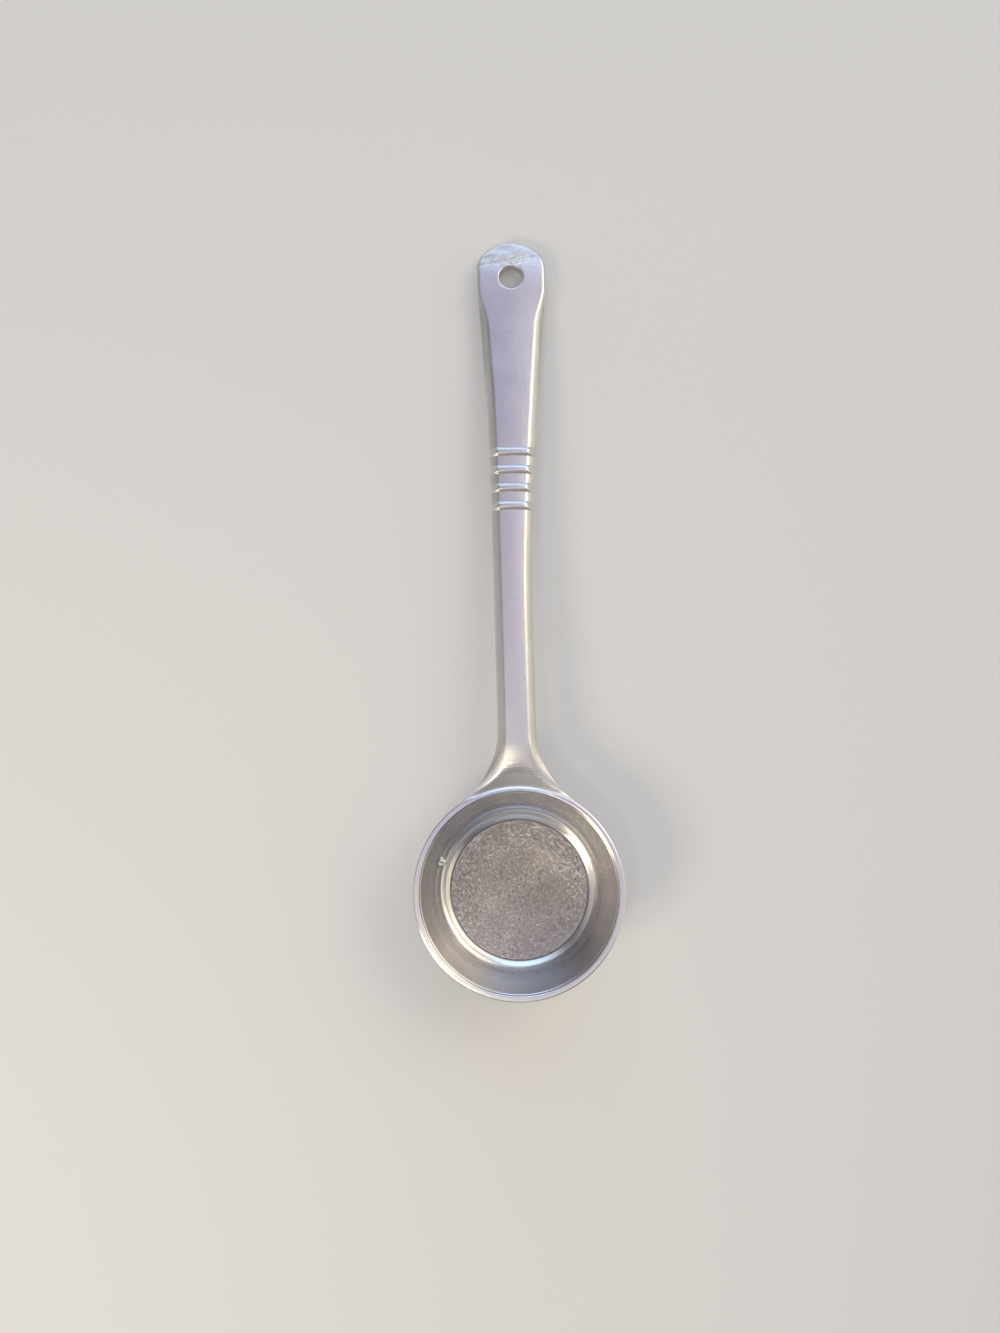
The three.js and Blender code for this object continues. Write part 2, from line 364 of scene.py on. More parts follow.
# %% [markdown]
# ## The bowl
# A lathe profile gives the inside from the middle of the floor to the flat of the rim, and the outside
# from low on the wall to the middle of the base. Inside, the turning shows: a shallow groove round the
# floor, a chamfer, a small step, a cove that leads into the wall, and a ledge below the rim. The profile's
# corners are placed first and then replaced by short curves, because a perfectly sharp edge catches no
# light. Between inside and outside lies the strip that changes near the handle: there the rim's outer edge
# follows the flare, and a shelf grows under it.


# %% Parts of a profile
def arc(radius, height, size, start_deg, end_deg, steps):
    angle = np.radians(np.linspace(start_deg, end_deg, steps + 1))
    return [(radius + size * math.cos(a), height + size * math.sin(a)) for a in angle]


def line(start, end, steps):
    return [tuple(np.add(start, np.subtract(end, start) * i / steps)) for i in range(1, steps)]


def rounded(before, corner, after, size, steps):
    """A corner between two straight runs, replaced by a short curve that touches both."""
    middle = np.array(corner)
    start, end = (middle + size * (side - middle) / math.dist(side, middle) for side in (before, after))
    shares = np.linspace(0, 1, steps + 1)
    return [tuple(start * (1 - s) ** 2 + 2 * middle * s * (1 - s) + end * s**2) for s in shares]


print(len(rounded((0, 0), (1, 0), (1, 1), 0.2, 3)), "points take the place of a corner in three steps")

# %% Profile of the bowl
LOW_HEIGHT = 9.5
GROOVE_ROUND = 0.15
FOOT_ROUND = 0.2
CREASE_ROUND = 0.12
COVE_FOOT_ROUND = 0.15
COVE_ROUND = 1.1
FLOOR_RINGS = 56
WALL_RINGS = 34

low_radius = wall_radius(LOW_HEIGHT)
draft_deg = math.degrees(WALL_DRAFT)
lip_arc = arc(inner_round, BOWL_HEIGHT - LEDGE_ROUND, LEDGE_ROUND, 180, 90, 6)
heel_arc = arc(base_radius, HEEL_FILLET, HEEL_FILLET, -draft_deg, -90, 8)
floor_edge = (FLOOR_RADIUS - UNDERCUT_WIDTH, FLOOR_THICKNESS)
chamfer_foot = (FLOOR_RADIUS, FLOOR_THICKNESS - UNDERCUT)
chamfer_top = tuple(np.add(chamfer_foot, (CHAMFER_WIDTH, CHAMFER_HEIGHT)))
cove_foot = tuple(np.add(chamfer_top, (STEP_WIDTH, STEP_HEIGHT)))
cove_height = cove_foot[1] + COVE_HEIGHT
cove_top = (wall_radius(cove_height, -1), cove_height)
ledge_height = BOWL_HEIGHT - LEDGE_DROP
wall_top = (wall_radius(ledge_height, -1), ledge_height)
ledge_end = (wall_top[0] + LEDGE_WIDTH, ledge_height + LEDGE_WIDTH / 2)

# Each corner, the size and steps of its round, and the steps of the straight run before it.
rounds = [
    (floor_edge, GROOVE_ROUND, 3, FLOOR_RINGS),
    (chamfer_foot, FOOT_ROUND, 3, 1),
    (chamfer_top, CREASE_ROUND, 2, 4),
    (cove_foot, COVE_FOOT_ROUND, 2, 1),
    (cove_top, COVE_ROUND, 9, 3),
    (wall_top, CREASE_ROUND, 2, WALL_RINGS),
    (ledge_end, CREASE_ROUND, 2, 1),
]
stops = [(0, FLOOR_THICKNESS)] + [corner for corner, *_ in rounds] + [lip_arc[0]]
inside, reached = [], stops[0]
for before, (corner, size, steps, run), after in zip(stops, rounds, stops[2:]):
    curve = rounded(before, corner, after, size, steps)
    inside += line(reached, curve[0], run) + curve
    reached = curve[-1]
inside += lip_arc
outside = [(low_radius, LOW_HEIGHT)] + line((low_radius, LOW_HEIGHT), heel_arc[0], 8) + heel_arc
outside += line(heel_arc[-1], (0, 0), 10)
print(f"floor {2 * floor_edge[0]:.1f} mm across, ledge {ledge_height:.2f} mm above the base")

# %% Rings of the bowl
TURN = 288
SECTOR = 15
angles = np.arange(TURN) * (2 * math.pi / TURN)


def ring(radius, height):
    return skin.row(radius * np.sin(angles), radius * np.cos(angles), height)


inside_rings = [ring(*place) for place in inside]
outside_rings = [ring(*place) for place in outside]
for rings in (inside_rings, outside_rings):
    skin.join_all(rings, closed=True)
skin.fan(inside_rings[0], skin.row(0, 0, FLOOR_THICKNESS)[0])
skin.fan(outside_rings[-1], skin.row(0, 0, 0)[0])
rim_ring = inside_rings[-1]
low_ring = outside_rings[0]
print(len(inside_rings), "rings inside and", len(outside_rings), "outside")

# %% [markdown]
# The strip runs from the flat of the rim over its edge and down the wall, one line of points for each
# angle outside the sector. Beside the handle the edge is where a ray from the middle meets the flare's
# arc. The side below the edge blends from the bowl's leaning wall to the handle's upright side.

# %% Edge strip of the bowl
SIDE_INSET = np.array([0.1, 0.25, 0.42, 0.75, 1.35])
SIDE_DROP = np.array([0.2, 0.47, 0.74, 0.93, 1.0])
SIDE_BLEND = 6
FOOT_BLEND = 2
EDGE_COLUMNS = 16
VALLEY_RADIUS = RIM_RADIUS + 0.5
flare_angle = math.atan2(flare_x, flare_y)


def outline_edge(angle):
    """Outline's radius and inward direction where a ray from the bowl's middle meets it."""
    ray = np.array([math.sin(angle), math.cos(angle)])
    if abs(angle) >= flare_angle:
        return RIM_RADIUS, -ray
    centre = np.array([math.copysign(flare_x, angle), flare_y])
    along = ray @ centre
    radius = along - math.sqrt(along**2 - centre @ centre + FLARE_RADIUS**2)
    return radius, (ray * radius - centre) / FLARE_RADIUS


def wall_inset(drop):
    """How far the bowl's own wall has gone in at a drop below the rim's widest line."""
    rounded = RIM_ROUND - np.sqrt(np.clip(RIM_ROUND**2 - drop**2, 0, None))
    leaning = RIM_RADIUS - wall_radius(round_height) + drop * math.tan(WALL_DRAFT)
    return np.where(drop < RIM_ROUND * math.sin(WALL_DRAFT), rounded, leaning)


def side_points(edge, inward, edge_top):
    """Points from just below an edge to where the underside begins."""
    past_rim = np.hypot(*edge) - RIM_RADIUS
    share = smooth(0, SIDE_BLEND, past_rim)
    inset = wall_inset(SIDE_DROP * EDGE_HEIGHT) * (1 - share) + SIDE_INSET * share
    x, y = edge[:, None] + inward[:, None] * inset
    plain_foot = edge_top - EDGE_HEIGHT
    foot = plain_foot + (under_height(x[-1], y[-1]) - plain_foot) * smooth(0, FOOT_BLEND, past_rim)
    return x, y, edge_top - (edge_top - foot) * SIDE_DROP


def edge_strip(angle, start, end):
    """A line of points from the flat of the rim, over its edge, down to a ring low on the wall."""
    radius, inward = outline_edge(angle)
    ray = np.array([math.sin(angle), math.cos(angle)])
    plain = abs(angle) >= flare_angle
    half = EDGE_COLUMNS // 2
    steps = np.arange(1, half + 1) / half
    flat_share = (outer_round - inner_round) / (RIM_RADIUS - inner_round)
    valley = min(VALLEY_RADIUS, inner_round + flat_share * (radius - inner_round))
    to_valley = inner_round + steps * (valley - inner_round)
    to_edge = valley + np.sin(steps * math.pi / 2) * (radius - valley)
    x, y = ray[:, None] * np.concatenate([to_valley, to_edge])
    strip = [start] + skin.row(x, y, lip_height(x, y) if plain else top_height(x, y))
    x, y, z = side_points(ray * radius, inward, skin.points[strip[-1]][2])
    strip += skin.row(x, y, z)
    share = np.arange(1, EDGE_COLUMNS) / EDGE_COLUMNS
    foot = np.array([x[-1], y[-1]])
    x, y = foot[:, None] + (ray * low_radius - foot)[:, None] * share
    surface = wall_height(np.hypot(x, y)) if plain else under_height(x, y)
    return strip + skin.row(x, y, surface) + [end]


def signed(angle):
    return (angle + math.pi) % (2 * math.pi) - math.pi


strips = [edge_strip(signed(angles[i]), rim_ring[i], low_ring[i]) for i in range(SECTOR, TURN - SECTOR + 1)]
skin.join_all(strips)
print(len(strips), "lines of", len(strips[0]), "points round the rim")

# %% [markdown]
# ## The handle
# Each loop has a top row, a right side, an underside and a left side. A function draws one loop from the
# middle columns of its top and underside and the place of its edge. In the neck these columns slide from
# the open sector of the rim to a straight line across the shank.

# %% Loop of the handle
MIDDLE = 2 * SECTOR
across = np.linspace(-1, 1, MIDDLE + 1)
edge_shares = np.sin(np.arange(EDGE_COLUMNS + 1) / EDGE_COLUMNS * math.pi / 2)
under_shares = np.arange(EDGE_COLUMNS + 1) / EDGE_COLUMNS


def mirrored(points):
    return points[:, ::-1] * np.array([[-1], [1]])


def handle_loop(top, under, edge, inward, shares):
    """Rows of one loop: top from left to right, right side, underside from right to left, left side."""
    right = top[:, -1:] + (edge[:, None] - top[:, -1:]) * shares[1:]
    x, y = np.hstack([mirrored(right), top, right])
    top_row = skin.row(x, y, top_height(x, y))
    side = np.array(side_points(edge, inward, skin.points[top_row[-1]][2]))
    right_side = skin.row(*side)
    foot = side[:2, -1:]
    lower = foot + (under[:, -1:] - foot) * under_shares[1:]
    x, y = np.hstack([lower, under[:, -2:0:-1], mirrored(lower)])
    under_row = skin.row(x, y, under_height(x, y))
    left_side = skin.row(-side[0, ::-1], side[1, ::-1], side[2, ::-1])
    return top_row, right_side, under_row, left_side


def rim_sector(ring_ids):
    """Points of a ring across the open sector, from left to right."""
    ids = [ring_ids[i] for i in range(-SECTOR, SECTOR + 1)]
    return skin.at(ids)[:2], ids


rim_points, rim_ids = rim_sector(rim_ring)
low_points, low_ids = rim_sector(low_ring)
right_strip, left_strip = strips[0], strips[-1]
top_count, side_count = EDGE_COLUMNS + 1, EDGE_COLUMNS + 1 + len(SIDE_INSET)
first_loop = (
    left_strip[top_count - 1 : 0 : -1] + rim_ids + right_strip[1:top_count],
    right_strip[top_count:side_count],
    right_strip[side_count:-1] + low_ids[::-1] + left_strip[-2 : side_count - 1 : -1],
    left_strip[side_count - 1 : top_count - 1 : -1],
)
print([len(row) for row in first_loop], "points in the first loop")

# %% Loops of the neck
NECK_LOOPS = 48
NECK_EASE = 1.25
neck_x = SHANK_WIDTH / 2 - SHOULDER_WIDTH
neck_end = np.array([across * neck_x, np.full(MIDDLE + 1, flare_y)])
first_row = skin.at(right_strip[:top_count])[:2]
from_rim = np.hypot(*(first_row - first_row[:, :1]))
first_shares = from_rim / from_rim[-1]
first_y = first_row[1, -1]

loops = [first_loop]
for share in (np.arange(1, NECK_LOOPS + 1) / NECK_LOOPS) ** NECK_EASE:
    edge_y = first_y + (flare_y - first_y) * share
    edge = np.array([float(half_width(edge_y)), edge_y])
    inward = (edge - np.array([flare_x, flare_y])) / FLARE_RADIUS
    top = rim_points + (neck_end - rim_points) * share
    under = low_points + (neck_end - low_points) * share
    loops.append(handle_loop(top, under, edge, inward, first_shares + (edge_shares - first_shares) * share))
print(len(loops), "loops to the end of the flare")

# %% [markdown]
# Along the straight handle the loops lie square across it: close together over the ribs, evenly round the
# hanging hole, and further apart where nothing changes. At the end they bend until the last one lies on
# the arch itself.

# %% Loops of the shank, ribs and grip
PLAIN_STEP = 2.0
RIB_STEP = 0.22
RIB_REACH = RIB_WIDTH / 2 + RIB_SWEEP + 0.2
HOLE_BLOCK = 7
HOLE_STEPS = 18
SLOPE_REACH = 0.05
arch_size = np.array([[GRIP_WIDTH / 2], [END_ARCH_LENGTH]])
arch_middle = np.array([[0], [arch_y]])


def stretch(start, end, step):
    count = max(1, round((end - start) / step))
    return list(np.linspace(start, end, count + 1)[1:])


def straight_row(y):
    face = float(half_width(y) - shoulder(y)[0])
    return np.array([across * face, np.full(MIDDLE + 1, y)])


def arch_inward(points):
    """Unit directions from points on the end's arch into the handle."""
    outward = (points - arch_middle) / arch_size**2
    return -outward / np.hypot(*outward)


def outline_inward(y):
    if y > arch_y:
        return arch_inward(np.array([[float(half_width(y))], [y]]))[:, 0]
    widening = float(half_width(y + SLOPE_REACH) - half_width(y - SLOPE_REACH)) / (2 * SLOPE_REACH)
    outward = np.array([1, -widening])
    return -outward / np.hypot(*outward)


places, reached = [], flare_y
for rib in sorted(rib_places):
    places += stretch(reached, rib - RIB_REACH, PLAIN_STEP)
    places += stretch(rib - RIB_REACH, rib + RIB_REACH, RIB_STEP)
    reached = rib + RIB_REACH
places += stretch(reached, hole_y - HOLE_BLOCK, PLAIN_STEP)
hole_first = len(loops) + len(places) - 1
places += stretch(hole_y - HOLE_BLOCK, hole_y + HOLE_BLOCK, 2 * HOLE_BLOCK / HOLE_STEPS)
for y in places:
    row = straight_row(y)
    loops.append(handle_loop(row, row, np.array([float(half_width(y)), y]), outline_inward(y), edge_shares))
print(len(places), "loops along the handle, the hole from loop", hole_first, "to", hole_first + HOLE_STEPS)

# %% Loops of the rounded end
END_LOOPS = (0.16, 0.32, 0.47, 0.6, 0.71, 0.8, 0.87, 0.915, 0.945, 0.967, 0.984, 0.995, 1)
END_EDGE_DEG = 45
END_FACE_DEG = 52


def on_arch(degrees):
    angle = np.radians(np.atleast_1d(degrees))
    return arch_middle + arch_size * np.array([np.cos(angle), np.sin(angle)])


start_row = straight_row(places[-1])
end_row = on_arch(90 - across * (90 - END_FACE_DEG))
end_under = end_row + arch_inward(end_row) * SIDE_INSET[-1]
start_deg = math.degrees(math.asin((places[-1] - arch_y) / END_ARCH_LENGTH))
for share in END_LOOPS:
    edge = on_arch(start_deg + (END_EDGE_DEG - start_deg) * share)
    top = start_row + (end_row - start_row) * share
    under = start_row + (end_under - start_row) * share
    loops.append(handle_loop(top, under, edge[:, 0], arch_inward(edge)[:, 0], edge_shares))
print(len(loops), "loops in all")

# %% [markdown]
# ## Joining the loops, the end wall and the hanging hole
# A block of faces is left out round the hole on both faces. Its square border is drawn in to a circle
# ring by ring, over a small rounded edge and down the hole's wall, so the hole is part of the same skin.

# %% Join the loops
HOLE_COLUMNS = 9
row_start = EDGE_COLUMNS + SECTOR - HOLE_COLUMNS
hole_columns = range(row_start, row_start + 2 * HOLE_COLUMNS)


def joined_rows(loop):
    """A loop's points with its four corners shared, one row for each side."""
    top, right, under, left = loop
    return top, [top[-1]] + right, [right[-1]] + under + [left[0]], left + [top[0]]


for number, (first, second) in enumerate(zip(loops, loops[1:])):
    in_hole = hole_first <= number < hole_first + HOLE_STEPS
    for side, (row, other) in enumerate(zip(joined_rows(first), joined_rows(second))):
        if in_hole and side in (0, 2):
            skin.join(row[: row_start + 1], other[: row_start + 1])
            skin.join(row[hole_columns.stop :], other[hole_columns.stop :])
        else:
            skin.join(row, other)
print(len(skin.faces), "faces before the end wall and the hole")

# %% End wall
last_top, last_right, last_under, last_left = joined_rows(loops[-1])
ends = skin.at(last_top[1:-1])
foot = skin.at(last_under[-2:0:-1])[2]
inward = arch_inward(ends[:2])
walls = [last_top]
for step, drop in enumerate(SIDE_DROP[:-1]):
    x, y = ends[:2] + inward * SIDE_INSET[step]
    middle = skin.row(x, y, ends[2] - (ends[2] - foot) * drop)
    walls.append([last_left[-2 - step]] + middle + [last_right[1 + step]])
walls.append(last_under[::-1])
skin.join_all(walls)
print(len(walls) - 1, "rows of faces on the end wall")

# %% Hanging hole
HOLE_EDGE = 0.45
HOLE_RINGS = 4
hole_middle = np.array([[0], [hole_y]])


def hole_border(row_number):
    """The square border left open on one face, in order round the hole."""
    rows = [joined_rows(loop)[row_number] for loop in loops[hole_first : hole_first + HOLE_STEPS + 1]]
    if row_number == 2:
        rows = [row[::-1] for row in rows]
    first, last = hole_columns.start, hole_columns.stop
    border = rows[0][first:last] + [row[last] for row in rows[:-1]]
    return border + rows[-1][last:first:-1] + [row[first] for row in rows[:0:-1]]


def drawn_in(border, surface, side):
    """Rings from a square border to the hole's rounded edge."""
    corners = skin.at(border)[:2] - hole_middle
    direction = corners / np.hypot(*corners)
    rings = [border]
    for share in np.arange(1, HOLE_RINGS + 1) / HOLE_RINGS:
        x, y = corners + (direction * (HOLE_RADIUS + HOLE_EDGE) - corners) * share + hole_middle
        rings.append(skin.row(x, y, surface(x, y)))
    for angle in np.radians([22.5, 45, 67.5, 90]):
        reach = HOLE_RADIUS + HOLE_EDGE * (1 - math.sin(angle))
        x, y = direction * reach + hole_middle
        rings.append(skin.row(x, y, surface(x, y) - side * HOLE_EDGE * (1 - math.cos(angle))))
    skin.join_all(rings, closed=True)
    return rings[-1]


upper = drawn_in(hole_border(0), top_height, 1)
lower = drawn_in(hole_border(2), under_height, -1)
wall_rings = [upper]
for share in (0.33, 0.67):
    wall_rings.append(skin.row(*(skin.at(upper) * (1 - share) + skin.at(lower) * share)))
skin.join_all(wall_rings + [lower], closed=True)
print(len(upper), "points round the hole")

# %% [markdown]
# ## A hand-finished surface
# A sand casting is never perfectly true. The floor keeps the crinkled skin of the mould, and its turned
# edge stands a little off centre. The wall has faint bands from the lathe and one lump of metal that ran
# into the mould. The faces wave by a few hundredths of a millimetre, the file left strokes on the tip, and
# the handle bows slightly to one side. Smooth noise and a few formulas move the points, so these show in
# reflections and in the mesh itself, not only in a bump. The noise has a seed of its own, so every run
# gives the same spoon.

# %% Forms of the unevenness
NOISE_SEED = 7
WAVE = 0.05
WAVE_LENGTH = 11
CRINKLE = 0.17
CRINKLE_LENGTH = 1.2
WRINKLES = 18
WRINKLE_LENGTH = 1.2
BAND_WAVE = 0.16
BAND_LENGTH = 4.5
BAND_PLACE = 0.3 * BAND_LENGTH
BOW = 0.75
BOW_START, BOW_END = 45, 190
LUMP = 2.4
LUMP_WIDTH = 1.7
LUMP_HEIGHT = 1.3
LUMP_ANGLE = math.radians(-69.5)
LUMP_Z = 8.8
LUMP_FLATNESS = 1.6
FLOOR_SHIFT = np.array([0.45, -0.5, 0])
TIP_ROUGH = 0.2
TIP_LENGTH = 2.0
STROKE_SHARE = 0.45
FILED_START, FILED_FULL = 5, 8
CRINKLED_RADIUS = FLOOR_RADIUS * 0.35
WRINKLED_RADIUS = FLOOR_RADIUS * 0.9
FLOOR_NEAR = 0.1
TOP_NEAR = 0.02
WALL_NEAR = 0.05


def bow(y):
    return -BOW * np.sin(np.clip((y - BOW_START) / (BOW_END - BOW_START), 0, 1) * math.pi) ** 2


def lump(points):
    """A run of metal that the mould left on the wall, pushed out towards the bowl's axis."""
    outward = np.array([math.sin(LUMP_ANGLE), math.cos(LUMP_ANGLE), 0])
    sideways = points @ np.array([outward[1], -outward[0], 0]) / LUMP_WIDTH
    upward = (points[:, 2] - LUMP_Z) / LUMP_HEIGHT
    on_wall = (points @ outward > FLOOR_RADIUS) & (points @ outward < wall_radius(points[:, 2]) - 1)
    rise = np.exp(-((sideways**2 + upward**2) ** LUMP_FLATNESS))
    return (-LUMP * rise * on_wall)[:, None] * outward


def crinkle_height(place, radius):
    """Skin of the mould on the floor: crinkled in the middle, wrinkled round the outside."""
    outer = float(smooth(CRINKLED_RADIUS, WRINKLED_RADIUS, radius))
    crinkles = noise.noise(place / CRINKLE_LENGTH)
    turned = place.xy.normalized() * WRINKLES
    wrinkles = noise.noise(Vector((turned.x, turned.y, radius / WRINKLE_LENGTH)))
    fade = float(1 - smooth(floor_edge[0] - 1, floor_edge[0], radius))
    return CRINKLE * fade * (crinkles + (wrinkles - crinkles) * outer)


drawn = np.array(skin.points)
drawn_x, drawn_y, drawn_z = drawn.T
radius = np.hypot(drawn_x, drawn_y)
in_bowl = (radius < cove_top[0]) & (drawn_z > chamfer_foot[1] - FLOOR_NEAR)
on_top = np.abs(drawn_z - top_height(drawn_x, drawn_y)) < TOP_NEAR
filed = smooth(hole_y + FILED_START, hole_y + FILED_FULL, drawn_y) * on_top
on_floor = (radius < floor_edge[0]) & (drawn_z > FLOOR_THICKNESS / 2) & (drawn_z < FLOOR_THICKNESS + 1)
on_wall = np.abs(radius - wall_radius(drawn_z, -1)) < WALL_NEAR
on_wall = on_wall & (drawn_z > cove_top[1] + 1) & (drawn_z < round_height)
print(f"{int(on_floor.sum())} points on the bowl's floor and {int(on_wall.sum())} on its wall")

# %% Move the points
noise.seed_set(NOISE_SEED)
points = drawn.copy()
for i, point in enumerate(drawn):
    place = Vector(point)
    wave = noise.noise_vector(place / WAVE_LENGTH) * WAVE
    if on_floor[i]:
        wave.z += crinkle_height(place, radius[i])
    elif on_wall[i]:
        band = noise.noise(Vector((point[2], BAND_PLACE, 0)) / BAND_LENGTH) * BAND_WAVE
        wave -= Vector((point[0], point[1], 0)).normalized() * band
    elif filed[i] > 0:
        stroke = Vector((point[0] * STROKE_SHARE, point[1], point[2])) / TIP_LENGTH
        wave.z += noise.noise(stroke) * TIP_ROUGH * filed[i]
    points[i] += wave
points += (in_bowl * (1 - smooth(cove_foot[0], cove_top[0], radius)))[:, None] * FLOOR_SHIFT
points[:, 0] += bow(points[:, 1])
points += lump(drawn)
print(f"{len(points)} points moved by up to {np.abs(points - drawn).max():.2f} mm along an axis")


# %% Mesh of the casting
def keep(name, kind, field, values):
    """A value for each point of the mesh, which the material can read."""
    attribute = mesh.attributes.new(name, kind, "POINT")
    attribute.data.foreach_set(field, values.astype(np.float32).ravel())


def add_object(name, data):
    thing = bpy.data.objects.new(name, data)
    bpy.context.scene.collection.objects.link(thing)
    return thing


to_table = np.array(Euler((-lean, 0, 0)).to_matrix())
resting = np.clip(points @ to_table.T * MM + np.array(base_place), *cad_box)
mesh = bpy.data.meshes.new("spoon_casting")
mesh.from_pydata(resting, [], skin.faces)
keep("casting_mm", "FLOAT_VECTOR", "vector", drawn)
across_bevel = np.clip(inside_outline(drawn_x, drawn_y) / shoulder(drawn_y)[0], 0, 1)
keep("bevel", "FLOAT", "value", (1 - across_bevel) * on_top * (drawn_y > RIM_RADIUS))
shape = bmesh.new()
shape.from_mesh(mesh)
bmesh.ops.delete(shape, geom=[v for v in shape.verts if not v.link_faces], context="VERTS")
bmesh.ops.recalc_face_normals(shape, faces=shape.faces)
open_edges = [edge for edge in shape.edges if not edge.is_manifold]
volume = shape.calc_volume(signed=True)
shape.to_mesh(mesh)
shape.free()
mesh.shade_smooth()

casting = add_object("spoon_casting", mesh)
print(f"{len(mesh.polygons)} faces, {len(open_edges)} open edges, {volume * 1e6:.1f} cubic centimetres")

# %% [markdown]
# ## Rubbed edges with a painted highlight, and painted shade in hollows
# Handling polishes what stands out. The colour lightens it further as a painted highlight and paints shade
# into what lies back. The mesh knows which is which: along an edge of the mesh the normals spread where the
# surface is convex and close where it is hollow. The average of that over each point's edges is kept as an
# attribute for the material.

# %% Curvature of the mesh
count, edge_count = len(mesh.vertices), len(mesh.edges)
places_m = np.empty(count * 3, np.float32)
normals = np.empty(count * 3, np.float32)
edge_ends = np.empty(edge_count * 2, np.int32)
mesh.vertices.foreach_get("co", places_m)
mesh.vertex_normals.foreach_get("vector", normals)
mesh.edges.foreach_get("vertices", edge_ends)
edge_ends = edge_ends.reshape(-1, 2)
along = np.subtract(*places_m.reshape(-1, 3)[edge_ends.T]) / MM
spread = (np.subtract(*normals.reshape(-1, 3)[edge_ends.T]) * along).sum(axis=1) / (along**2).sum(axis=1)
total = np.bincount(edge_ends.ravel(), np.repeat(spread, 2), count)
curvature = total / np.bincount(edge_ends.ravel(), minlength=count)
keep("bend", "FLOAT", "value", curvature)
print(f"curvature from {curvature.min():.2f} to {curvature.max():.2f} per millimetre")

# %% [markdown]
# ## Shader maths in Python
# Every finish on the spoon depends on where a point lies on the casting, so the material is mostly
# arithmetic. A small class wraps a node's output and turns +, -, * and / into Math nodes, which keeps the
# sums readable. One method makes every other node.


# %% Tone and Finish classes
def operator(operation, swapped=False):
    """A method that makes a Math node from a Tone and another value, in that order or swapped."""

    def method(self, other):
        values = (other, self) if swapped else (self, other)
        return self.finish.math(operation, *values)

    return method


class Tone:
    """One output of a node, which Python's operators work on."""

    __add__, __radd__ = operator("ADD"), operator("ADD", swapped=True)
    __sub__, __rsub__ = operator("SUBTRACT"), operator("SUBTRACT", swapped=True)
    __mul__, __rmul__ = operator("MULTIPLY"), operator("MULTIPLY", swapped=True)
    __truediv__ = operator("DIVIDE")

    def __init__(self, finish, socket):
        self.finish = finish
        self.socket = socket


class Finish:
    """A node tree that is filled by short method calls."""

    def __init__(self, tree):
        self.tree = tree

    def node(self, kind, settings=(), inputs=(), output=0):
        made = self.tree.nodes.new(kind)
        for name, value in dict(settings).items():
            setattr(made, name, value)
        for name, value in dict(inputs).items():
            if isinstance(value, Tone):
                self.tree.links.new(value.socket, made.inputs[name])
            else:
                made.inputs[name].default_value = value
        return Tone(self, made.outputs[output])

    def math(self, operation, *values):
        return self.node("ShaderNodeMath", {"operation": operation}, dict(enumerate(values)))

    def step(self, value, start, full):
        """0 at start, 1 at full and an easy curve between them, rising or falling."""
        limits = {"Value": value, "From Min": start, "From Max": full}
        return self.node("ShaderNodeMapRange", {"interpolation_type": "SMOOTHSTEP"}, limits)

    def grain(self, place, scale, detail=2.0, roughness=0.5):
        """Smooth noise from 0 to 1 with a middle value of 0.5."""
        sockets = {"Vector": place, "Scale": scale, "Detail": detail, "Roughness": roughness}
        return self.node("ShaderNodeTexNoise", {}, sockets)

    def mix(self, share, first, second):
        """A colour between two others, inputs 6 and 7. The node keeps the share within 0 and 1."""
        return self.node("ShaderNodeMix", {"data_type": "RGBA"}, {0: share, 6: first, 7: second}, 2)


def new_finish(name):
    material = bpy.data.materials.new(name)
    material.use_nodes = True
    return material, Finish(material.node_tree)


metal, alloy = new_finish("cast_aluminium")
print("material", metal.name, "ready")

# %% [markdown]
# ## Where a point lies
# The mesh carries each point's place on the upright casting in millimetres. From it come the distance
# from the bowl's axis and the masks of the zones: the floor left as cast, the parts that the lathe
# touched, the lip of the rim, the filed tip and the bevels left as cast. What is left is the rubbed face
# of the handle and the cast outside. Noise makes the borders ragged where a hand or the mould drew them.


# %% Place of a point
def kept(name, output):
    return alloy.node("ShaderNodeAttribute", {"attribute_name": name}, {}, output)


spot = kept("casting_mm", "Vector")
bend_tone = kept("bend", "Fac")
bevel_tone = kept("bevel", "Fac")
parts = alloy.node("ShaderNodeSeparateXYZ", {}, {"Vector": spot})
spot_x, spot_y, spot_z = (Tone(alloy, output) for output in parts.socket.node.outputs)
from_axis = alloy.math("SQRT", spot_x * spot_x + spot_y * spot_y)
mottle = alloy.grain(spot, 0.11, 3)
ragged = alloy.grain(spot, 0.9, 3) - 0.5
print("the material knows each point's place, curvature and share of the bevel")

# %% Zones of the casting
BORDER = 0.4
MARGIN = 0.1
RAMP_LOW, RAMP_FULL = -0.3, -0.08
FLOOR_RAGGED = 0.6
TIP_START, TIP_FULL = 3.5, 9
TIP_TILT = 0.12
TIP_RAGGED, TIP_MOTTLED = 1.5, 9
LIP_REACH = 0.6
FACE_FADE = 4
BEVEL_SHARES = (0.05, 0.3)
RUBBED_AND_HIGHLIT_BENDS = (0.1, 0.6)
HOLLOW_BENDS = (-0.12, -0.7)
GROOVE_BORDER = 0.2


def relief(grain, depth):
    """A grain's ups and downs about its middle value, with depth as their full range."""
    return (grain - 0.5) * depth


